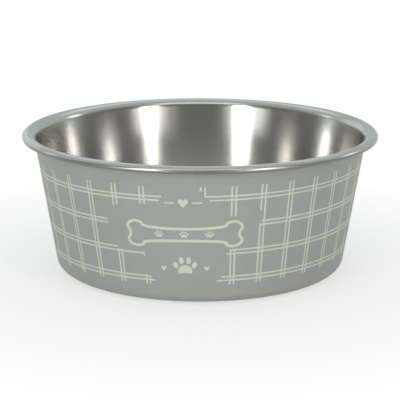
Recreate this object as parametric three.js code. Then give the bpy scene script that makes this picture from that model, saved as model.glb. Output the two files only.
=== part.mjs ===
// Dog bowl: a bowl drawn from one sheet of stainless steel, with a crowned flange and a rolled rim. A matt
// coating covers its outside, and a rubber base is bonded into a recess pressed in its floor.
// Millimetres, +Z up. The origin is on the bowl's axis, on the surface that the bowl stands on.

import * as THREE from "three";

// Driving dimensions of the steel pressing
const RIM_DIAMETER = 200; // over the rolled rim
const RIM_HEIGHT = 78.5; // from the surface under the bowl to the top of the flange
const FLANGE_WIDTH = 7.4; // from the rim's edge in to the line of the wall's inner face
const WALL_TAPER = 9.3; // lean of the wall from upright, in degrees
const SHEET = 0.7; // thickness of the steel all over
const INNER_CORNER_RADIUS = 4.9; // between floor and wall, on the food side
const LIP_RADIUS = 5; // where the wall turns out into the flange, on the food side
const FLANGE_LEVEL = 0.2; // level part of the flange, past the lip
const FLANGE_FALL = 35; // slope of the flange where it runs into the rolled rim, in degrees
const CROWN_RADIUS = 2.7; // where the flange turns from level to that slope, on its top
const ROLL_RADIUS = 1.5; // outside of the rolled rim
const ROLL_OPENING = 0.7; // left between the rolled-under edge and the flange's level part
const FOOT_RING_WIDTH = 2.8; // flat ring under the wall's corner, round the recess
const RECESS_DEPTH = 1.2; // from the foot ring up to the recess's ceiling
const RECESS_SLOPE = 45; // lean of the recess's side from level, in degrees
const RECESS_BEND_RADIUS = 1; // at both ends of that side, in the middle of the sheet

// Driving dimensions of what is bonded to it
const COATING = 0.3; // thickness of the matt coating
const BASE_PROUD = 1; // how far the rubber base stands below the coated foot ring
const BASE_CLEARANCE = 0.8; // between the rubber base and the edge of the recess's ceiling
const BASE_EDGE_CHAMFER = 0.5; // on the rubber's lower edge
const GRIP_RINGS = 5; // raised rings that touch the ground
const GRIP_RING_WIDTH = 5;
const GROOVE_WIDTH = 1.6; // between two grip rings
const GROOVE_DEPTH = 0.7;
const GROOVE_DRAFT = 0.25; // lean of a groove's side, measured along the radius
const ADHESIVE = 0.3; // thickness of the adhesive film
const ADHESIVE_MARGIN = 3; // from the rubber's edge in to the film's edge
const BOND_GAP = 0.05; // clearance between two bonded faces

// Facets
const AROUND = 64; // flats on a full turn
const BEND_STEP = 15; // degrees of a bend in one flat
const ROLL_STEP = 30; // degrees of the rolled rim in one flat

const radians = THREE.MathUtils.degToRad;
const at = (radius, height) => new THREE.Vector2(radius, height);

// Heights of the middle of the sheet, and of the face that the rubber base is bonded to
const footRingZ = BASE_PROUD + COATING + BOND_GAP + SHEET / 2;
const floorPanelZ = footRingZ + RECESS_DEPTH;
const flangeZ = RIM_HEIGHT - SHEET / 2;
const recessCeilingZ = floorPanelZ - SHEET / 2;

/** Radius of the middle of the wall's sheet at a height. */
function wallRadius(height) {
  const taper = radians(WALL_TAPER);
  const innerFace = RIM_DIAMETER / 2 - FLANGE_WIDTH - (RIM_HEIGHT - height) * Math.tan(taper);
  return innerFace + SHEET / 2 / Math.cos(taper);
}

/** How far a bend's arc starts before the corner that it rounds. */
const bendReach = (radius, turn) => radius * Math.tan(turn / 2);

/** The arc that rounds a corner between two others. */
function bend(before, corner, after, radius) {
  const arriving = corner.clone().sub(before).normalize();
  const leaving = after.clone().sub(corner).normalize();
  const turn = Math.atan2(arriving.cross(leaving), arriving.dot(leaving));
  const side = Math.sign(turn);
  const start = corner.clone().addScaledVector(arriving, -bendReach(radius, Math.abs(turn)));
  const inward = at(-arriving.y, arriving.x).multiplyScalar(side);
  const centre = start.clone().addScaledVector(inward, radius);
  const from = Math.atan2(-inward.y, -inward.x);
  return new THREE.EllipseCurve(centre.x, centre.y, radius, radius, from, from + turn, side < 0);
}

/** Straight runs through some corners, with an arc of its own radius at each corner between the ends. */
function bentLine(corners, radii) {
  const curves = [];
  let from = corners[0];
  radii.forEach((radius, i) => {
    const arc = bend(corners[i], corners[i + 1], corners[i + 2], radius);
    curves.push(new THREE.LineCurve(from, arc.getPoint(0)), arc);
    from = arc.getPoint(1);
  });
  return [...curves, new THREE.LineCurve(from, corners.at(-1))];
}

// The middle line of the drawn sheet, from the axis out to the start of the rolled rim
const cornerRadius = INNER_CORNER_RADIUS + SHEET / 2;
const wallTurn = radians(90 - WALL_TAPER);
const footRingOuter = wallRadius(footRingZ) - bendReach(cornerRadius, wallTurn);
const recessEdge = footRingOuter - FOOT_RING_WIDTH - bendReach(RECESS_BEND_RADIUS, radians(RECESS_SLOPE));
const recessRadius = recessEdge - RECESS_DEPTH / Math.tan(radians(RECESS_SLOPE));
const fall = radians(FLANGE_FALL);
const lipRadius = LIP_RADIUS - SHEET / 2;
const lipEnd = wallRadius(flangeZ) + bendReach(lipRadius, wallTurn);
const crownRadius = CROWN_RADIUS - SHEET / 2;
const crownCorner = at(lipEnd + FLANGE_LEVEL + bendReach(crownRadius, fall), flangeZ);

// The rolled rim is round about a centre that makes the flange's slope a tangent
const rollMiddle = ROLL_RADIUS - SHEET / 2;
const rollRadius = RIM_DIAMETER / 2 - ROLL_RADIUS;
const slopeEnd = rollRadius + rollMiddle * Math.sin(fall);
const rollStart = at(slopeEnd, flangeZ - (slopeEnd - crownCorner.x) * Math.tan(fall));
const rollCentre = at(rollRadius, rollStart.y - rollMiddle * Math.cos(fall));

const pressed = bentLine(
  [
    at(0, floorPanelZ),
    at(recessRadius, floorPanelZ),
    at(recessEdge, footRingZ),
    at(wallRadius(footRingZ), footRingZ),
    at(wallRadius(flangeZ), flangeZ),
    crownCorner,
    rollStart,
  ],
  [RECESS_BEND_RADIUS, RECESS_BEND_RADIUS, cornerRadius, lipRadius, crownRadius],
);
const [, , , , footRing, corner, wall, lip] = pressed;

/** The arc of the rolled rim, from the foot of the flange's slope out, down and under. */
function rolledRim() {
  const edgeZ = RIM_HEIGHT - SHEET - ROLL_OPENING;
  const start = Math.PI / 2 - fall;
  const end = -Math.PI - Math.asin((edgeZ - rollCentre.y) / ROLL_RADIUS);
  return new THREE.EllipseCurve(rollCentre.x, rollCentre.y, rollMiddle, rollMiddle, start, end, true);
}

/** Points along curves that run on from each other, moved to their right by an offset, square to them. */
function offsetPoints(curves, offset, degreesPerStep = BEND_STEP) {
  const points = [];
  for (const curve of curves) {
    const sweep = Math.abs((curve.aEndAngle ?? 0) - (curve.aStartAngle ?? 0));
    const steps = Math.max(1, Math.round(sweep / radians(degreesPerStep)));
    for (let i = points.length ? 1 : 0; i <= steps; i++) {
      const along = curve.getTangent(i / steps);
      points.push(curve.getPoint(i / steps).addScaledVector(at(along.y, -along.x), offset));
    }
  }
  return points;
}

/** A mesh turned about +Z from a section drawn as radius and height. */
function turned(name, section, material) {
  const geometry = new THREE.LatheGeometry(section, AROUND).rotateX(Math.PI / 2);
  const mesh = new THREE.Mesh(geometry, new THREE.MeshStandardMaterial(material));
  mesh.name = name;
  return mesh;
}

/** The pressing: both faces of one sheet, out to its rolled edge. */
function steelBowl() {
  const roll = rolledRim();
  const face = (offset) => [
    ...offsetPoints(pressed, offset),
    ...offsetPoints([roll], offset, ROLL_STEP).slice(1),
  ];
  const section = [...face(SHEET / 2), ...face(-SHEET / 2).reverse()];
  return turned("steel_bowl", section, { color: "#b9bab6", metalness: 1, roughness: 0.3 });
}

/** The coating: a thin shell on the outside, from the foot ring up to the underside of the flange. */
function outerCoating() {
  const coated = [footRing, corner, wall, lip];
  const bonded = SHEET / 2 + BOND_GAP;
  const section = offsetPoints(coated, bonded + COATING);
  section.push(...offsetPoints(coated, bonded).reverse(), section[0]);
  return turned("outer_coating", section, { color: "#979892", metalness: 0, roughness: 0.55 });
}

// The bonded base fills the recess, with the film above the rubber
const baseRadius = recessRadius - bendReach(RECESS_BEND_RADIUS, radians(RECESS_SLOPE)) - BASE_CLEARANCE;
const adhesiveTop = recessCeilingZ - BOND_GAP;
const baseTop = adhesiveTop - ADHESIVE - BOND_GAP;

/** The adhesive: a thin disc between the recess's ceiling and the rubber. */
function baseAdhesive() {
  const radius = baseRadius - ADHESIVE_MARGIN;
  const bottom = adhesiveTop - ADHESIVE;
  const section = [at(0, bottom), at(radius, bottom), at(radius, adhesiveTop), at(0, adhesiveTop)];
  return turned("base_adhesive", section, { color: "#d8d3c4", metalness: 0, roughness: 0.5 });
}

/** The rubber base: a disc with raised grip rings round a middle that stays off the ground. */
function nonSlipBase() {
  const section = [at(0, GROOVE_DEPTH)];
  for (let i = GRIP_RINGS - 1; i >= 0; i--) {
    const outer = baseRadius - i * (GRIP_RING_WIDTH + GROOVE_WIDTH);
    const inner = outer - GRIP_RING_WIDTH;
    section.push(at(inner, GROOVE_DEPTH), at(inner + GROOVE_DRAFT, 0));
    if (i > 0) section.push(at(outer - GROOVE_DRAFT, 0), at(outer, GROOVE_DEPTH));
  }
  section.push(at(baseRadius - BASE_EDGE_CHAMFER, 0), at(baseRadius, BASE_EDGE_CHAMFER));
  section.push(at(baseRadius, baseTop), at(0, baseTop));
  return turned("non_slip_base", section, { color: "#2b2c2c", metalness: 0, roughness: 0.85 });
}

const bowl = new THREE.Group();
bowl.add(steelBowl(), outerCoating(), baseAdhesive(), nonSlipBase());
export default bowl;
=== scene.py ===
# %% [markdown]
# A dog bowl in brushed steel
#
# This lesson dresses the CAD model of a dog bowl: one pressing of stainless steel with a rolled rim, a matt
# grey coating on its outside, a pale check printed on the coating and a rubber base underneath. Every size
# is in metres and every piece is built where the CAD model has it, so nothing is moved afterwards. The CAD
# box is kept first, because the finished bowl has to fit inside it.

# %% Load the frame
from math import atan2, cos, pi, radians, sin, tan

import bmesh
import bpy
from mathutils import Matrix, Vector


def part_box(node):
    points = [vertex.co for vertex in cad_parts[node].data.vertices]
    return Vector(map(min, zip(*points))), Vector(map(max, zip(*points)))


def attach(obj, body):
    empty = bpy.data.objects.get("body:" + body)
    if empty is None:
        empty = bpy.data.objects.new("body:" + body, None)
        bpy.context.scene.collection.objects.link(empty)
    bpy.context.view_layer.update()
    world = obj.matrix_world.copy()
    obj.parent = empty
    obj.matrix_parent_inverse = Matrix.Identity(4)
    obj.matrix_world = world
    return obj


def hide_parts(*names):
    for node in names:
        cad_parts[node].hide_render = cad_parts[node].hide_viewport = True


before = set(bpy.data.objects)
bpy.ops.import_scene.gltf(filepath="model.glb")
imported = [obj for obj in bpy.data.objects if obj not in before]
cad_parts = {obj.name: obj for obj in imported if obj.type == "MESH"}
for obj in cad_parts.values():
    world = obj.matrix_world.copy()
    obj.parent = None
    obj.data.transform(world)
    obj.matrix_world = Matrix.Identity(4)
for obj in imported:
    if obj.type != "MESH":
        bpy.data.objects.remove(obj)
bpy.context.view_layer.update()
MM = 0.001
print("CAD nodes:", sorted(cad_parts))

# %% [markdown]
# The camera
#
# The photograph looks a little down at the bowl, from a few bowl widths away. Seen from close by, the front
# of the rim would bulge, and from far away its front and back curves would be alike. The curves give the
# distance, and the lens then gives the size in the picture. No shift is needed.

# %% Set up the camera
CAMERA_DISTANCE = 853.2 * MM
CAMERA_ELEVATION = radians(14.02)
CAMERA_ROLL = radians(0.06)
CAMERA_AIM = Vector((0, 0, 36.99 * MM))
LENS = 134.51  # on Blender's sensor, 36 wide


def photo_camera():
    """A camera that looks along +Y and down at the bowl's middle."""
    data = bpy.data.cameras.new("photo_camera")
    data.lens = LENS
    camera = bpy.data.objects.new("photo_camera", data)
    turn = Matrix.Rotation(pi / 2 - CAMERA_ELEVATION, 4, "X") @ Matrix.Rotation(CAMERA_ROLL, 4, "Z")
    back = Matrix.Translation((0, 0, CAMERA_DISTANCE))
    camera.matrix_world = Matrix.Translation(CAMERA_AIM) @ turn @ back
    bpy.context.collection.objects.link(camera)
    bpy.context.scene.camera = camera
    return camera


camera = photo_camera()
print("Camera at", [round(x, 4) for x in camera.matrix_world.translation])

# %% [markdown]
# Sections that are bent and turned
#
# Steel, coating and rubber are all round about one axis, so each is a section turned through a full circle.
# Drawing every point of a section by hand would be slow and hard to change. Here a section is a few corners,
# each corner is rounded by a vertex bevel, and Spin turns the line into a surface. How far a vertex lies
# along the section is written on it before the turn. It becomes the U of a UV map that the brushed grain
# needs.

# %% Bend a line
BEND_SEGMENTS = 8


def reach(radius, turn):
    """How far before a corner its rounding starts, for a bend of that radius and turn."""
    return radius * tan(turn / 2)


def bent_line(corners, reaches, segments=BEND_SEGMENTS):
    """A line through corners given as radius and height, with the corners between its ends rounded."""
    bm = bmesh.new()
    bm.verts.layers.float.new("along")
    line = [bm.verts.new((radius, 0, height)) for radius, height in corners]
    for before, after in zip(line, line[1:]):
        bm.edges.new((before, after))
    for corner, back in zip(line[1:-1], reaches):
        bmesh.ops.bevel(
            bm, geom=[corner], offset=back, offset_type="ABSOLUTE", affect="VERTICES",
            segments=segments, profile=0.5, material=-1,
        )
    return bm, line[0], line[-1]


print("A bend has", BEND_SEGMENTS, "segments")


# %% Measure along a section
def measure_along(bm, start):
    """Writes each vertex's distance along the section on it, and returns the whole length."""
    along = bm.verts.layers.float["along"]
    vert, came_by, length = start, None, 0.0
    while True:
        vert[along] = length
        onward = [edge for edge in vert.link_edges if edge is not came_by]
        if not onward:
            return length
        came_by = onward[0]
        length += came_by.calc_length()
        vert = came_by.other_vert(vert)


# %% Turn a section about the axis
AROUND = 256  # faces on a full turn
MERGE = 0.001 * MM  # closer vertices become one


def turn_about_axis(bm):
    """Turns a section through a full circle, closes its poles and makes its faces point one way."""
    bmesh.ops.spin(
        bm, geom=bm.verts[:] + bm.edges[:], cent=(0, 0, 0), axis=(0, 0, 1),
        angle=2 * pi, steps=AROUND, use_merge=True,
    )
    bmesh.ops.remove_doubles(bm, verts=bm.verts[:], dist=MERGE)
    bmesh.ops.recalc_face_normals(bm, faces=bm.faces[:])


print("A full turn has", AROUND, "steps")


# %% Map a turned surface
def map_section(bm, round_radius):
    """A UV map in metres: U runs along the section, V round the axis."""
    uv = bm.loops.layers.uv.new("section")
    along = bm.verts.layers.float["along"]
    for face in bm.faces:
        middle = face.calc_center_median()
        facing = atan2(middle.y, middle.x)
        for loop in face.loops:
            place = loop.vert.co.xy
            ahead = place.angle_signed(middle.xy) if place.length > MERGE else 0
            loop[uv].uv = (loop.vert[along], (facing + ahead) * round_radius)


# %% Finish a piece
SHARP = radians(35)  # a steeper edge is shaded as an edge


def finished_piece(name, bm):
    """A smooth object from a bmesh, riding on the bowl."""
    mesh = bpy.data.meshes.new(name)
    bm.to_mesh(mesh)
    bm.free()
    mesh.shade_smooth()
    mesh.set_sharp_from_angle(angle=SHARP)
    piece = bpy.data.objects.new(name, mesh)
    bpy.context.collection.objects.link(piece)
    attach(piece, "root")
    print(name, "has", len(mesh.polygons), "faces")
    return piece


# %% [markdown]
# The steel bowl
#
# A press draws the bowl from one flat sheet, so floor, wall, lip, flange and rolled rim are the same metal
# with the same thickness everywhere. The flange is level only next to the lip: it crowns over and slopes
# down into the roll. Two separately drawn faces would soon drift apart. Instead the face that the food
# touches is drawn and turned, and Solidify gives it the sheet's thickness. The rolled rim is the last point
# of the section, spun about the middle of the roll.

# %% Sizes of the pressing
steel_low, steel_high = (Vector(corner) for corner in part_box("steel_bowl"))
base_high = Vector(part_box("non_slip_base")[1])
rim_radius = steel_high.x
rim_top = steel_high.z
base_radius = base_high.x

SHEET = 0.7 * MM
FLANGE_WIDTH = 7.4 * MM
WALL_TAPER = radians(9.3)
INNER_CORNER_RADIUS = 4.9 * MM
LIP_RADIUS = 5 * MM
FLANGE_LEVEL = 0.2 * MM
FLANGE_FALL = radians(35)
CROWN_RADIUS = 2.7 * MM
ROLL_RADIUS = 1.5 * MM
ROLL_TURN = radians(268)  # from the foot of the flange's slope out, down and under
RECESS_DEPTH = 1.2 * MM
RECESS_SLOPE = radians(45)
RECESS_BEND_RADIUS = 1 * MM
BASE_CLEARANCE = 0.8 * MM
FOOT_RING_WIDTH = 2.8 * MM

wall_turn = pi / 2 - WALL_TAPER
ring_top = steel_low.z + SHEET
floor_top = ring_top + RECESS_DEPTH
recess_reach = reach(RECESS_BEND_RADIUS, RECESS_SLOPE)
recess_radius = base_radius + BASE_CLEARANCE + recess_reach + reach(SHEET / 2, RECESS_SLOPE)
recess_edge = recess_radius + RECESS_DEPTH / tan(RECESS_SLOPE)


def wall_radius(height, outside=0.0):
    """Radius of the wall's food side at a height, or of a face that lies outside it by a distance."""
    food_side = rim_radius - FLANGE_WIDTH - (rim_top - height) * tan(WALL_TAPER)
    return food_side + outside / cos(WALL_TAPER)


print("Rim", round(rim_radius / MM, 1), "mm, floor at", round(floor_top / MM, 2), "mm")

# %% Press the steel bowl
ROLL_STEPS = 20


def steel_bowl():
    """The drawn sheet, from the middle of its floor to the edge rolled under the flange."""
    corner_reach = reach(INNER_CORNER_RADIUS, wall_turn)
    lip_reach = reach(LIP_RADIUS, wall_turn)
    crown_reach = reach(CROWN_RADIUS, FLANGE_FALL)
    crown_radius = wall_radius(rim_top) + lip_reach + FLANGE_LEVEL + crown_reach
    roll_middle = Vector((rim_radius - ROLL_RADIUS, 0, 0))
    slope_end = roll_middle.x + ROLL_RADIUS * sin(FLANGE_FALL)
    slope_foot = rim_top - (slope_end - crown_radius) * tan(FLANGE_FALL)
    roll_middle.z = slope_foot - ROLL_RADIUS * cos(FLANGE_FALL)
    corners = [
        (0, floor_top),
        (recess_radius, floor_top),
        (recess_edge, ring_top),
        (wall_radius(ring_top), ring_top),
        (wall_radius(rim_top), rim_top),
        (crown_radius, rim_top),
        (slope_end, slope_foot),
    ]
    reaches = [recess_reach, recess_reach, corner_reach, lip_reach, crown_reach]
    bm, middle, flange_edge = bent_line(corners, reaches)
    bmesh.ops.spin(
        bm, geom=[flange_edge], cent=roll_middle, axis=(0, 1, 0), angle=ROLL_TURN, steps=ROLL_STEPS,
    )
    length = measure_along(bm, middle)
    turn_about_axis(bm)
    bmesh.ops.solidify(bm, geom=bm.faces[:], thickness=SHEET)
    map_section(bm, rim_radius)
    piece = finished_piece("drawn_steel_bowl", bm)
    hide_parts("steel_bowl")
    return piece, length


steel, section_length = steel_bowl()
print("The section is", round(section_length / MM, 1), "mm long")

# %% [markdown]
# The coating
#
# The outside is coated in matt grey from under the flange down to the foot ring, and the coating ends in a
# thin edge there. Paint on the steel's own faces would need a second material and would have no edge, so the
# coating is a shell of its own. Its bonded side is drawn, round the same centres as the steel, and Solidify
# adds the coating's thickness outside it.

# %% Coat the outside
COATING = 0.3 * MM
BOND_GAP = 0.05 * MM
LIP_END = 0.1 * MM  # of flat coating after the lip's bend
bonded_face = SHEET + BOND_GAP
coat_face = bonded_face + COATING


def outer_coating():
    """The coating, from the foot ring round the corner, up the wall and out to the end of the lip."""
    bottom = steel_low.z - BOND_GAP
    top = rim_top - bonded_face
    corner_reach = reach(INNER_CORNER_RADIUS + bonded_face, wall_turn)
    lip_reach = reach(LIP_RADIUS - bonded_face, wall_turn)
    foot_corner = wall_radius(bottom, bonded_face)
    lip_corner = wall_radius(top, bonded_face)
    corners = [
        (foot_corner - corner_reach - FOOT_RING_WIDTH, bottom),
        (foot_corner, bottom),
        (lip_corner, top),
        (lip_corner + lip_reach + LIP_END, top),
    ]
    bm, ring_edge, _ = bent_line(corners, [corner_reach, lip_reach])
    measure_along(bm, ring_edge)
    turn_about_axis(bm)
    bmesh.ops.solidify(bm, geom=bm.faces[:], thickness=COATING)
    map_section(bm, rim_radius)
    piece = finished_piece("grey_coating", bm)
    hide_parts("outer_coating")
    return piece


coating = outer_coating()

# %% [markdown]
# The rubber base
#
# Underneath, a rubber disc keeps the bowl from sliding. Its grip rings are moulded, so their edges are soft.
# A flat disc with a bump texture would look right from above only. The rings are turned from one closed
# section, with a small round on each edge.

# %% Mould the rubber base
GRIP_RINGS = 5
GRIP_RING_WIDTH = 5 * MM
GROOVE_WIDTH = 1.6 * MM
GROOVE_DEPTH = 0.7 * MM
GROOVE_DRAFT = 0.25 * MM
RUBBER_ROUND = 0.18 * MM
RUBBER_SEGMENTS = 3


def rubber_base():
    """The rubber disc: a middle that stays off the ground, grip rings round it, and a flat top."""
    corners = [(0, GROOVE_DEPTH)]
    for ring in reversed(range(GRIP_RINGS)):
        outer = base_radius - ring * (GRIP_RING_WIDTH + GROOVE_WIDTH)
        inner = outer - GRIP_RING_WIDTH
        corners += [(inner, GROOVE_DEPTH), (inner + GROOVE_DRAFT, 0), (outer - GROOVE_DRAFT, 0)]
        if ring:
            corners.append((outer, GROOVE_DEPTH))
    corners += [(base_radius, GROOVE_DEPTH), (base_radius, base_high.z), (0, base_high.z)]
    bm, middle, _ = bent_line(corners, [RUBBER_ROUND] * (len(corners) - 2), RUBBER_SEGMENTS)
    measure_along(bm, middle)
    turn_about_axis(bm)
    map_section(bm, base_radius)
    piece = finished_piece("moulded_rubber_base", bm)
    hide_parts("non_slip_base")
    return piece


rubber = rubber_base()

# %% [markdown]
# The printed check
#
# An image would carry it, but none is used here, and crossed strips would overlap where they meet. So one
# cell is cut out of a flat plate: every edge of a line is a cut, and the faces that get no ink are deleted.
# The cell is repeated round the bowl while it is still flat, which keeps each step easy to check.

# %% Cut one cell of the check
COLUMNS = 36
ROWS = 4
PAIR_GAP = 2.13 * MM  # between the middles of the two lines of a pair
LINE_WIDTH = 0.88 * MM
CHECK_ABOVE = 6.35 * MM  # from the top row's middle to the upright lines' ends
CHECK_BELOW = 3.65 * MM  # from the bottom row's middle to their lower ends
CELL_STEPS = 8  # across a cell, so that a level line follows the round wall
PRINT_HEIGHT = 37.66 * MM  # the check's middle, above the ground

print_radius = wall_radius(PRINT_HEIGHT, coat_face)
cell = 2 * pi * print_radius / COLUMNS
row_places = [(row - (ROWS - 1) / 2) * cell for row in range(ROWS)]


def cut(bm, places, direction, faces=None):
    """Cuts flat faces along straight lines square to a direction."""
    for place in places:
        chosen = faces() if faces else bm.faces[:]
        edges = {edge for face in chosen for edge in face.edges}
        verts = {vert for face in chosen for vert in face.verts}
        bmesh.ops.bisect_plane(
            bm, geom=[*verts, *edges, *chosen], dist=MERGE,
            plane_co=Vector(direction) * place, plane_no=direction,
        )


def inked(place, middle):
    """True if a place lies on one of the two lines of the pair about a middle."""
    return abs(abs(place - middle) - PAIR_GAP / 2) < LINE_WIDTH / 2


def check_cell():
    """A flat cell of the check, with its pair of upright lines in the middle and all its rows."""
    bottom = row_places[0] - CHECK_BELOW
    top = row_places[-1] + CHECK_ABOVE
    bm = bmesh.new()
    bmesh.ops.create_grid(bm, x_segments=1, y_segments=1, size=0.5)
    bmesh.ops.scale(bm, vec=(cell, top - bottom, 1), verts=bm.verts[:])
    bmesh.ops.translate(bm, vec=(0, (top + bottom) / 2, 0), verts=bm.verts[:])
    edges = [side * PAIR_GAP / 2 + half * LINE_WIDTH / 2 for side in (-1, 1) for half in (-1, 1)]
    cut(bm, edges, (1, 0, 0))
    cut(bm, [(step / CELL_STEPS - 0.5) * cell for step in range(1, CELL_STEPS)], (1, 0, 0))
    cut(bm, [row + edge for row in row_places for edge in edges], (0, 1, 0))
    waste = []
    for face in bm.faces:
        middle = face.calc_center_median()
        if not inked(middle.x, 0) and not any(inked(middle.y, row) for row in row_places):
            waste.append(face)
    bmesh.ops.delete(bm, geom=waste, context="FACES")
    return bm


print("Cells are", round(cell / MM, 2), "mm wide on a radius of", round(print_radius / MM, 2), "mm")

# %% [markdown]
# A clear place for the emblem
#
# The check stops round an emblem at the front. Its lines end where they meet the outline of a clear area,
# and the two lines of a pair end at slightly different places because that outline is slanted. The outline
# is a few points in the flat print, in millimetres from the emblem's middle. Cutting along its sides and
# deleting what lies inside gives clean ends.

# %% Clear the emblem's place
EMBLEM_TURN = radians(-5.3)  # from straight ahead to the emblem's middle
emblem_across = EMBLEM_TURN * print_radius

CLEAR_LEFT = [
    (-9.8, 31), (-9.8, 25), (-12.2, 21), (-13.6, 19.6), (-34.0, 17.9), (-39.2, 15.7), (-41.6, 8.6),
    (-41.0, 4), (-39.6, -6.0), (-37.3, -6.0), (-37.3, -7.6), (-21.5, -7.6), (-21.5, -10.3), (-23.5, -10.6),
    (-23.5, -19.6), (-19.4, -21.4), (-15.6, -24.6), (-15.4, -31),
]
CLEAR_RIGHT = [
    (7.4, 31), (7.4, 27), (9.8, 27), (9.9, 24.6), (13.2, 21.4), (13.6, 20.2), (22.0, 12.3), (28.0, 12.3),
    (37.5, 14.8), (40.4, 14.4), (40.4, 9.6), (38.2, 5.6), (29.0, -6.1), (23.5, -6.1), (23.5, -7.5),
    (21.7, -8.2), (20.2, -20.8), (16.2, -24.4), (16.0, -31),
]
clear_outline = [
    Vector((emblem_across + across * MM, up * MM, 0)) for across, up in CLEAR_LEFT + CLEAR_RIGHT[::-1]
]


def is_inside(outline, point):
    """True if a flat point lies inside a closed outline."""
    inside = False
    for start, end in zip(outline, outline[1:] + outline[:1]):
        if (start.y > point.y) != (end.y > point.y):
            crossing = start.x + (end.x - start.x) * (point.y - start.y) / (end.y - start.y)
            inside ^= point.x < crossing
    return inside


def clear_area(bm, outline):
    """Cuts the flat print along an outline and deletes what is inside it."""
    left = min(point.x for point in outline) - LINE_WIDTH
    right = max(point.x for point in outline) + LINE_WIDTH

    def nearby():
        return [face for face in bm.faces if left < face.calc_center_median().x < right]

    for start, end in zip(outline, outline[1:] + outline[:1]):
        square_to = Vector((end.y - start.y, start.x - end.x, 0)).normalized()
        cut(bm, [start.dot(square_to)], square_to, nearby)
    gone = [face for face in nearby() if is_inside(outline, face.calc_center_median())]
    bmesh.ops.delete(bm, geom=gone, context="FACES")


print("The clear area has", len(clear_outline), "corners")

# %% [markdown]
# From the flat print to the wall
#
# A print on a tapering wall is a flat sheet rolled into a cone. On this bowl it sits slightly askew, and is
# drawn a little wider at the front than at the back. A Shrinkwrap modifier could press the sheet on, but a
# formula is exact: each flat point becomes a turn and a height, the print is tilted, and the point goes back
# on to the coated wall. The sheet is given the ink's thickness last.

# %% Press the print on
PRINT_TILT = radians(0.82)
PRINT_STRETCH = radians(0.65)  # how far the print is drawn out at the left and right
INK = 0.04 * MM  # how far the ink stands off the coating
INK_SEAT = 0.02 * MM  # how far it is let into the coating


def on_wall(flat):
    """The place on the coated wall, at the ink's face, of a point of the flat print."""
    turn = flat.x / print_radius
    azimuth = turn + PRINT_STRETCH * sin(turn)
    height = flat.y * cos(WALL_TAPER)
    radius = wall_radius(PRINT_HEIGHT + height, coat_face)
    straight = Vector((radius * sin(azimuth), -radius * cos(azimuth), height))
    askew = Matrix.Rotation(-PRINT_TILT, 3, "Y") @ straight
    height = PRINT_HEIGHT + askew.z
    outward = Vector((askew.x, askew.y, 0)).normalized()
    return outward * wall_radius(height, coat_face + INK) + Vector((0, 0, height))


def printed_piece(name, bm):
    """A piece of ink from a flat print: pressed on to the wall and made as thick as the ink."""
    bm.normal_update()
    bmesh.ops.reverse_faces(bm, faces=[face for face in bm.faces if face.normal.z < 0])
    for vert in bm.verts:
        vert.co = on_wall(vert.co)
    bmesh.ops.remove_doubles(bm, verts=bm.verts[:], dist=MERGE)
    bm.normal_update()
    bmesh.ops.solidify(bm, geom=bm.faces[:], thickness=INK + INK_SEAT)
    return finished_piece(name, bm)


print("The print's middle is at", [round(x / MM, 2) for x in on_wall(Vector((0, 0, 0)))], "mm")


# %% Print the check
CHECK_TURN = radians(1.14)  # from straight ahead to the nearest pair of upright lines


def printed_check():
    """The check all round the bowl, clear of the emblem."""
    bm = check_cell()
    first = bm.verts[:] + bm.edges[:] + bm.faces[:]
    for column in range(1, COLUMNS):
        copied = bmesh.ops.duplicate(bm, geom=first)["geom"]
        verts = [part for part in copied if isinstance(part, bmesh.types.BMVert)]
        bmesh.ops.translate(bm, vec=(column * cell, 0, 0), verts=verts)
    back = CHECK_TURN * print_radius - COLUMNS // 2 * cell
    bmesh.ops.translate(bm, vec=(back, 0, 0), verts=bm.verts[:])
    bmesh.ops.remove_doubles(bm, verts=bm.verts[:], dist=MERGE)
    clear_area(bm, clear_outline)
    return printed_piece("printed_check", bm)


check = printed_check()

# %% [markdown]
# The emblem
#
# The clear area holds a plain emblem in the same ink: a bone in outline with paw prints in it, a heart above
# and a larger paw print below. Each motif is a flat face. Round shapes are circles, and a heart, a pad or
# a bone is a polygon whose corners are rounded by a vertex bevel. The bone's face is inset by the width of
# its line and the inside deleted, which leaves an outline of even width.

# %% Round a flat motif
ROUNDING = 45  # percent of a side, at each of its ends
MOTIF_SEGMENTS = 6


def rounded_face(bm, corners, place, size, sharp=()):
    """A flat face from corners, each of them rounded, apart from the sharp ones."""
    others = set(bm.faces)
    middle = Vector((*place, 0))
    verts = [bm.verts.new(middle + Vector((x, y, 0)) * size) for x, y in corners]
    bm.faces.new(verts)
    soft = [vert for i, vert in enumerate(verts) if i not in sharp]
    bmesh.ops.bevel(
        bm, geom=soft, offset=ROUNDING, offset_type="PERCENT", affect="VERTICES",
        segments=MOTIF_SEGMENTS, profile=0.5, material=-1,
    )
    return next(face for face in bm.faces if face not in others)


# %% Draw paw prints, hearts and rules
PAD = [(-0.98, -0.72), (0, -0.5), (0.98, -0.72), (0.62, 0.42), (-0.62, 0.42)]
TOES = [(-1.08, 0.42, 24), (-0.42, 1.0, 8), (0.42, 1.0, -8), (1.08, 0.42, -24)]  # across, up, lean
TOE_SIZE = (0.27, 0.42)
CIRCLE_SEGMENTS = 24
HEART = [(0, -1), (1.12, 0.2), (0.62, 0.95), (0, 0.42), (-0.62, 0.95), (-1.12, 0.2)]
HEART_POINTS = (0, 3)  # its tip and its notch


def paw_print(bm, place, size):
    """A pad and four toes."""
    rounded_face(bm, PAD, place, size)
    for x, y, lean in TOES:
        stand = Matrix.Translation((place[0] + x * size, place[1] + y * size, 0))
        stand = stand @ Matrix.Rotation(radians(lean), 4, "Z") @ Matrix.Diagonal((*TOE_SIZE, 1, 1))
        bmesh.ops.create_circle(bm, cap_ends=True, radius=size, segments=CIRCLE_SEGMENTS, matrix=stand)


def heart(bm, place, size):
    """A heart with a sharp tip and notch."""
    rounded_face(bm, HEART, place, size, sharp=HEART_POINTS)


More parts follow.
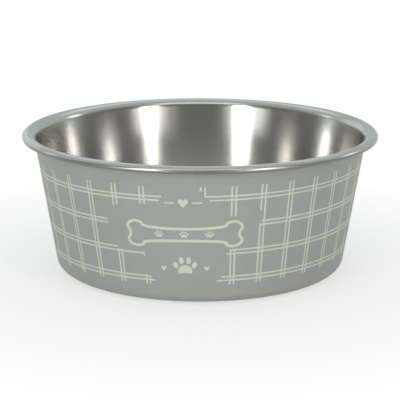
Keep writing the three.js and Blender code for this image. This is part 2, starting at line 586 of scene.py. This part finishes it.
def rule(bm, place, length, width):
    """A short level line."""
    stand = Matrix.Translation((*place, 0)) @ Matrix.Diagonal((length, width, 1, 1))
    bmesh.ops.create_grid(bm, x_segments=1, y_segments=1, size=0.5, matrix=stand)


# %% Draw the bone
BONE_QUARTER = [(20.5, 4.1), (21.5, 7.5), (27.8, 7.8), (31.4, 3.9), (28.2, 0)]  # millimetres
BONE_LINE = 1.5 * MM
bone_reach = max(x for x, _ in BONE_QUARTER) * MM


def bone_outline(bm, place):
    """A bone's outline, drawn from one quarter of its corners."""
    right = BONE_QUARTER + [(x, -y) for x, y in BONE_QUARTER[-2::-1]]
    corners = right + [(-x, -y) for x, y in right]
    face = rounded_face(bm, corners, place, MM)
    bmesh.ops.inset_region(bm, faces=[face], thickness=BONE_LINE, use_even_offset=True, use_boundary=True)
    bmesh.ops.delete(bm, geom=[face], context="FACES")


print("The bone is", round(2 * bone_reach / MM, 1), "mm long before its corners are rounded")

# %% Print the emblem
BONE_PLACE = (0, 2.6 * MM)
BONE_PAWS = [-13 * MM, 0, 13 * MM]
BONE_PAW_SIZE = 1.7 * MM
PAW_DROP = 0.2 * BONE_PAW_SIZE  # sets a pad and its toes level with the bone's middle
BIG_PAW_PLACE = (0, -16.5 * MM)
BIG_PAW_SIZE = 4.6 * MM
HEART_PLACE = (0, 20.5 * MM)
HEART_SIZE = 2.6 * MM
RULE_LENGTH = 5 * MM
RULE_OFFSET = 7 * MM
SMALL_HEART_OFFSET = 11.5 * MM
SMALL_HEART_SIZE = 1.6 * MM


def printed_emblem():
    """The bone with its paw prints, and the hearts, rules and larger paw print above and below it."""
    bm = bmesh.new()
    bone_outline(bm, BONE_PLACE)
    for across in BONE_PAWS:
        paw_print(bm, (across, BONE_PLACE[1] - PAW_DROP), BONE_PAW_SIZE)
    paw_print(bm, BIG_PAW_PLACE, BIG_PAW_SIZE)
    heart(bm, HEART_PLACE, HEART_SIZE)
    for side in (-1, 1):
        rule(bm, (side * RULE_OFFSET, HEART_PLACE[1]), RULE_LENGTH, LINE_WIDTH)
        heart(bm, (side * SMALL_HEART_OFFSET, BIG_PAW_PLACE[1]), SMALL_HEART_SIZE)
    step = cell / CELL_STEPS
    lines = int(bone_reach / step)
    cut(bm, [line * step for line in range(-lines, lines + 1)], (1, 0, 0))
    bmesh.ops.translate(bm, vec=(emblem_across, 0, 0), verts=bm.verts[:])
    return printed_piece("printed_emblem", bm)


emblem = printed_emblem()

# %% [markdown]
# Finishes
#
# Each finish is a Principled shader whose colour, roughness and bump come from noise at the scale of the
# real surface. Values that are the same all over are set on the shader itself. The patterns read Object
# coordinates, which are metres here, so a noise scale is simply how many grains there are to a metre. A
# colour is written as it looks on a screen and made linear for the shader.

# %% Write a colour
def colour(red, green, blue):
    """A colour given as it looks on a screen, 0 to 255, as linear values by the screen's own curve."""
    def linear(value):
        share = value / 255
        return share / 12.92 if share <= 0.04045 else ((share + 0.055) / 1.055) ** 2.4
    return (linear(red), linear(green), linear(blue), 1)


print("Middle grey is", round(colour(128, 128, 128)[0], 3), "as a linear value")


# %% Wire a finish
MIX_FACTOR = 0  # sockets of a Mix node that mixes colours
MIX_FIRST = 6
MIX_SECOND = 7
MIX_RESULT = 2


class Finish:
    """A node material. Nodes are added by kind, with values or other nodes' sockets for their inputs."""

    def __init__(self, name, constants):
        self.material = bpy.data.materials.new(name)
        self.material.use_nodes = True
        self.tree = self.material.node_tree
        self.shader = self.tree.nodes["Principled BSDF"]
        self.feed(self.shader, constants)

    def feed(self, node, inputs):
        """Links or sets a node's inputs."""
        for name, value in inputs.items():
            if isinstance(value, bpy.types.NodeSocket):
                self.tree.links.new(value, node.inputs[name])
            else:
                node.inputs[name].default_value = value

    def add(self, kind, inputs=(), output=0, **settings):
        """A new node, given as one of its outputs."""
        node = self.tree.nodes.new("ShaderNode" + kind)
        for name, value in settings.items():
            setattr(node, name, value)
        self.feed(node, dict(inputs))
        return node.outputs[output]

    def noise(self, scale, detail=2.0, vector=None):
        """Noise from 0 to 1, on Object coordinates unless a vector is given."""
        place = vector or self.add("TexCoord", output="Object")
        return self.add("TexNoise", {"Vector": place, "Scale": scale, "Detail": detail})

    def between(self, source, low, high, span=(0.3, 0.7)):
        """A value spread between two others, by default over the span that most noise lies in."""
        inputs = {"Value": source, "From Min": span[0], "From Max": span[1], "To Min": low, "To Max": high}
        return self.add("MapRange", inputs)

    def blend(self, source, first, second):
        """A colour between two others."""
        inputs = {MIX_FACTOR: source, MIX_FIRST: first, MIX_SECOND: second}
        return self.add("Mix", inputs, output=MIX_RESULT, data_type="RGBA")

    def bump(self, height, depth, strength=1.0):
        """A normal that follows a height, with its depth in metres."""
        return self.add("Bump", {"Height": height, "Distance": depth, "Strength": strength})

    def put_on(self, piece):
        """Makes this the piece's only finish."""
        piece.data.materials.clear()
        piece.data.materials.append(self.material)
        print(piece.name, "gets", self.material.name, "with", len(self.tree.nodes), "nodes")


# %% [markdown]
# Brushed steel
#
# Inside, the steel is brushed round the bowl, so each lamp is drawn out into an upright band of light and
# the band is much narrower than it is tall. Plain roughness would blur a lamp the same amount each way. The
# shader is anisotropic, with its tangent along the section. The scratches are noise squeezed across the
# brushing and stretched along it, read from the section's UV map and the place round the axis. The brush
# doesn't reach the side and the underside of the roll, which are duller, and there the steel's colour is
# painted darker as painted shade, so the same UV map tells the finish where the roll turns down.

# %% Choose the steel's colours and grain
STEEL_LIGHT = colour(216, 214, 209)
STEEL_DARK = colour(206, 204, 198)
# painted shade: a darker steel colour for the roll's side and underside
STEEL_PAINTED_SHADE = colour(132, 131, 127)
BRUSHING = 0.68  # how far highlights are drawn out along the section, 0 to 1
BRUSHED_ROUGHNESS = (0.205, 0.215)
SCRATCHES_ACROSS = 1400  # to a metre of section
SCRATCHES_ROUND = 25  # to a metre along the brushing
SCRATCH_DETAIL = 3.0
SCRATCH_DEPTH = 0.004 * MM
SCRATCH_STRENGTH = 0.5
CLOUDS = 45.0  # to a metre
# the roll is made rougher and painted darker, as painted shade, between these two turns
DULL_SHADE_FROM = radians(22)  # of the roll's turn, where it faces up and outwards
DULL_SHADE_ALL = radians(58)  # just past the roll's widest place
DULL_ROUGHER = 0.2  # added to the roughness there
roll_start = section_length - ROLL_TURN * ROLL_RADIUS
dull_and_shade_span = (roll_start + DULL_SHADE_FROM * ROLL_RADIUS, roll_start + DULL_SHADE_ALL * ROLL_RADIUS)
# the span where the steel is rougher and its colour is painted darker as painted shade
print("The steel gets dull between", [round(along / MM, 2) for along in dull_and_shade_span], "mm along its section")


# %% Brush the steel
def brushed_steel():
    """Stainless steel brushed round the bowl's axis."""
    finish = Finish("brushed_steel", {"Metallic": 1.0, "Anisotropic": BRUSHING})
    place = finish.add("SeparateXYZ", {0: finish.add("TexCoord", output="Object")}).node
    section = finish.add("SeparateXYZ", {0: finish.add("UVMap", uv_map="section")})
    scratches = finish.add("CombineXYZ", {
        "X": finish.add("Math", {0: place.outputs["X"], 1: SCRATCHES_ROUND}, operation="MULTIPLY"),
        "Y": finish.add("Math", {0: place.outputs["Y"], 1: SCRATCHES_ROUND}, operation="MULTIPLY"),
        "Z": finish.add("Math", {0: section, 1: SCRATCHES_ACROSS}, operation="MULTIPLY"),
    })
    grain = finish.noise(1.0, SCRATCH_DETAIL, scratches)
    cloud = finish.noise(CLOUDS)
    # mask for the rougher part of the roll that is painted darker as painted shade
    dull_and_shade = finish.between(section, 0, 1, dull_and_shade_span)
    brushed = finish.blend(grain, STEEL_DARK, STEEL_LIGHT)
    rough = finish.between(cloud, *BRUSHED_ROUGHNESS)
    finish.feed(finish.shader, {
        # the roll's side and underside get the painted shade colour
        "Base Color": finish.blend(dull_and_shade, brushed, STEEL_PAINTED_SHADE),
        "Roughness": finish.add("Math", {0: dull_and_shade, 1: DULL_ROUGHER, 2: rough}, operation="MULTIPLY_ADD"),
        "Normal": finish.bump(grain, SCRATCH_DEPTH, SCRATCH_STRENGTH),
        "Tangent": finish.add("Tangent", direction_type="UV_MAP", uv_map="section"),
    })
    return finish


brushed_steel().put_on(steel)

# %% [markdown]
# Coating, ink, rubber and adhesive
#
# The coating is matt with a very fine grain, as a sprayed lacquer has. The ink is paler, drier and slightly
# uneven. The rubber is nearly black and dull. The adhesive film is a CAD node whose shape is right, so it
# only gets a milky finish.

# %% Make a grained finish
GRAIN_DETAIL = 3.0
PATCH_SIZE = 12  # grains across one broad patch
MIXED_SPAN = (0.1, 0.4)  # where most of the product of two noises lies


def grained(name, deep, pale, rough, grains, depth, specular=0.5):
    """A dull finish of two near colours, with a fine grain in its colour, gloss and surface."""
    finish = Finish(name, {"Specular IOR Level": specular})
    fine = finish.noise(grains, GRAIN_DETAIL)
    broad = finish.noise(grains / PATCH_SIZE)
    mixed = finish.add("Math", {0: fine, 1: broad}, operation="MULTIPLY")
    finish.feed(finish.shader, {
        "Base Color": finish.blend(finish.between(mixed, 0, 1, MIXED_SPAN), deep, pale),
        "Roughness": finish.between(broad, *rough),
        "Normal": finish.bump(fine, depth),
    })
    return finish


# %% Paint the coating and print the ink
COAT_GREY = colour(157, 158, 152)
COAT_GREY_DEEP = colour(153, 154, 148)
INK_PALE = colour(198, 206, 186)
INK_THIN = colour(192, 199, 179)

matt_coating = grained(
    "matt_coating", COAT_GREY_DEEP, COAT_GREY, rough=(0.48, 0.56), grains=2600, depth=0.006 * MM,
    specular=0.28,
)
matt_coating.put_on(coating)
pale_ink = grained(
    "pale_ink", INK_THIN, INK_PALE, rough=(0.55, 0.65), grains=1800, depth=0.006 * MM, specular=0.3,
)
pale_ink.put_on(check)
pale_ink.put_on(emblem)

# %% Colour the rubber and the adhesive
RUBBER_BLACK = colour(44, 45, 45)
RUBBER_DUST = colour(58, 58, 57)
FILM_MILK = colour(216, 211, 196)
FILM_CLOUD = colour(200, 194, 178)

dull_rubber = grained(
    "dull_rubber", RUBBER_BLACK, RUBBER_DUST, rough=(0.75, 0.9), grains=1500, depth=0.03 * MM, specular=0.3,
)
dull_rubber.put_on(rubber)
milky_film = grained("milky_film", FILM_CLOUD, FILM_MILK, rough=(0.4, 0.55), grains=900, depth=0.01 * MM)
milky_film.put_on(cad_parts["base_adhesive"])

# %% [markdown]
# The floor
#
# The photograph shows the bowl cut out on white. A floor lit by the lamps alone would be grey, and more
# light on it would bleach the bowl too. So the floor is plain white to the camera and in reflections, by
# its own colour and not by the lamps. Near the bowl it is partly lit by the lamps, and keeps a soft shadow
# there.

# %% Lay the floor
FLOOR_HALF = 6.0
FLOOR_WHITE = (0.94, 0.94, 0.94, 1)
FLOOR_ROUGHNESS = 0.9
PLAIN_WHITE = (1, 1, 1, 1)
SHADOW_RADIUS = 0.07
SHADOW_FADE = 0.16
FOOT_WHITE = 0.62  # share of plain white at the bowl's foot


def white_floor():
    """A floor that keeps the bowl's shadow and fades to plain white away from it."""
    bm = bmesh.new()
    bmesh.ops.create_grid(bm, x_segments=1, y_segments=1, size=FLOOR_HALF)
    mesh = bpy.data.meshes.new("floor")
    bm.to_mesh(mesh)
    bm.free()
    floor = bpy.data.objects.new("floor", mesh)
    bpy.context.collection.objects.link(floor)
    finish = Finish("white_floor", {"Base Color": FLOOR_WHITE, "Roughness": FLOOR_ROUGHNESS})
    rays = finish.add("LightPath").node.outputs
    seen = finish.add("Math", {0: rays["Is Camera Ray"], 1: rays["Is Glossy Ray"]}, operation="MAXIMUM")
    seen = finish.add("Math", {0: seen, 1: rays["Is Transmission Ray"]}, operation="MAXIMUM")
    place = finish.add("TexCoord", output="Object")
    away = finish.add("VectorMath", {0: place}, "Value", operation="LENGTH")
    far = finish.between(away, FOOT_WHITE, 1, (SHADOW_RADIUS, SHADOW_RADIUS + SHADOW_FADE))
    plain = finish.add("Emission", {"Color": PLAIN_WHITE, "Strength": 1.0})
    share = finish.add("Math", {0: seen, 1: far}, operation="MULTIPLY")
    surface = finish.add("MixShader", {0: share, 1: finish.shader.outputs[0], 2: plain})
    finish.feed(finish.tree.nodes["Material Output"], {"Surface": surface})
    finish.put_on(floor)


white_floor()

# %% [markdown]
# The lamps
#
# The inside of the bowl is a hollow mirror, so every lamp shows in it. One big lamp would fill it with
# light. The photograph has two bright upright bands at the back and thinner ones beside them, so the light
# is in separate softboxes to the left and right in front. A low wide one gives a main band its top, and a
# middle one its foot. A tall one gives the thinner bands, which are reflected twice, and a faint wide glow
# softens each main band. Small lamps behind at each side, a faint one at the back left, and wide ones above
# and behind light the flange and the rest of the inside. The left lamps are slightly cool and the right
# ones slightly warm.

# %% Make a softbox
LAMP_AIM = Vector((0, 0, 0.05))
COOL = (0.96, 0.98, 1.0)
WARM = (1.0, 0.99, 0.96)


def softbox(name, azimuth, elevation, distance, size, power, tint=(1, 1, 1)):
    """A soft lamp round the bowl, by angles in degrees: azimuth 0 is the camera's side and 90 is +X."""
    data = bpy.data.lights.new(name, "AREA")
    data.shape = "RECTANGLE"
    data.size, data.size_y = size
    data.energy = power
    data.color = tint
    lamp = bpy.data.objects.new(name, data)
    sideways, up = radians(azimuth), radians(elevation)
    away = Vector((sin(sideways) * cos(up), -cos(sideways) * cos(up), sin(up)))
    lamp.location = LAMP_AIM + away * distance
    lamp.rotation_euler = away.to_track_quat("Z", "Y").to_euler()
    bpy.context.collection.objects.link(lamp)
    print(name, "at", [round(x, 2) for x in lamp.location])


# %% Hang the lamps in front
NEAR = 1.3
FAR = 1.35
LOW_SIZE = (0.58, 0.20)
softbox("left_softbox", -37.5, 3.5, NEAR, LOW_SIZE, power=2.4, tint=COOL)
softbox("right_softbox", 38.5, 3.5, NEAR, LOW_SIZE, power=2.1, tint=WARM)
softbox("left_middle_softbox", -33.5, 16, NEAR, (0.26, 0.26), power=1.3, tint=COOL)
softbox("left_tall_softbox", -33.5, 25, NEAR, (0.24, 0.32), power=2.2, tint=COOL)
softbox("right_middle_softbox", 40, 14.5, NEAR, (0.22, 0.20), power=0.40, tint=WARM)
softbox("right_tall_softbox", 40.5, 25, NEAR, (0.22, 0.32), power=2.0, tint=WARM)

# %% Hang the lamps behind and above
softbox("left_back_softbox", -112, 22, NEAR, (0.20, 0.26), power=0.22, tint=COOL)
softbox("left_wall_glow", -150, 16, FAR, (0.9, 0.5), power=0.30, tint=COOL)
softbox("right_back_softbox", 111, 22, NEAR, (0.28, 0.26), power=0.50, tint=WARM)
softbox("top_softbox", 0, 64, distance=1.4, size=(1.3, 0.30), power=1.8)
softbox("rear_softbox", 180, 50, distance=1.5, size=(1.6, 0.6), power=1.1)

# %% Hang the glows
GLOW_SIZE = (0.9, 0.25)
softbox("left_glow", -36, 4, FAR, GLOW_SIZE, power=1.35, tint=COOL)
softbox("right_glow", 36, 4, FAR, GLOW_SIZE, power=1.2, tint=WARM)

# %% [markdown]
# The room
#
# Between the lamps, the steel shows the room. A room of one grey would make the flange and the inside
# alike, but in the photograph the flange is paler than the wall at the back. Seen from the front, the flange
# mirrors what is above and behind the bowl, and that wall mirrors what is in front of it. So the room is
# pale behind and above, and dark in front.

# %% Light the room
ROOM_FRONT = (0.16, 0.16, 0.158, 1)
ROOM_BACK = (0.50, 0.555, 0.57, 1)
PALE_TOWARDS = (0, 1, 0.9)
DARK_UP_TO = 0.1  # the dot product of a direction with that one
PALE_FROM = 0.75


def studio_room():
    """A grey room, pale behind the bowl and dark in front of it."""
    world = bpy.data.worlds.new("studio_room")
    world.use_nodes = True
    nodes, links = world.node_tree.nodes, world.node_tree.links
    direction = nodes.new("ShaderNodeTexCoord")
    facing = nodes.new("ShaderNodeVectorMath")
    facing.operation = "DOT_PRODUCT"
    facing.inputs[1].default_value = PALE_TOWARDS
    span = nodes.new("ShaderNodeMapRange")
    span.inputs["From Min"].default_value = DARK_UP_TO
    span.inputs["From Max"].default_value = PALE_FROM
    mix = nodes.new("ShaderNodeMix")
    mix.data_type = "RGBA"
    mix.inputs[MIX_FIRST].default_value = ROOM_FRONT
    mix.inputs[MIX_SECOND].default_value = ROOM_BACK
    links.new(direction.outputs["Generated"], facing.inputs[0])
    links.new(facing.outputs["Value"], span.inputs["Value"])
    links.new(span.outputs["Result"], mix.inputs[MIX_FACTOR])
    links.new(mix.outputs[MIX_RESULT], nodes["Background"].inputs["Color"])
    bpy.context.scene.world = world


studio_room()
bpy.context.scene.view_settings.view_transform = "Standard"
print("The room is", bpy.context.scene.world.name)
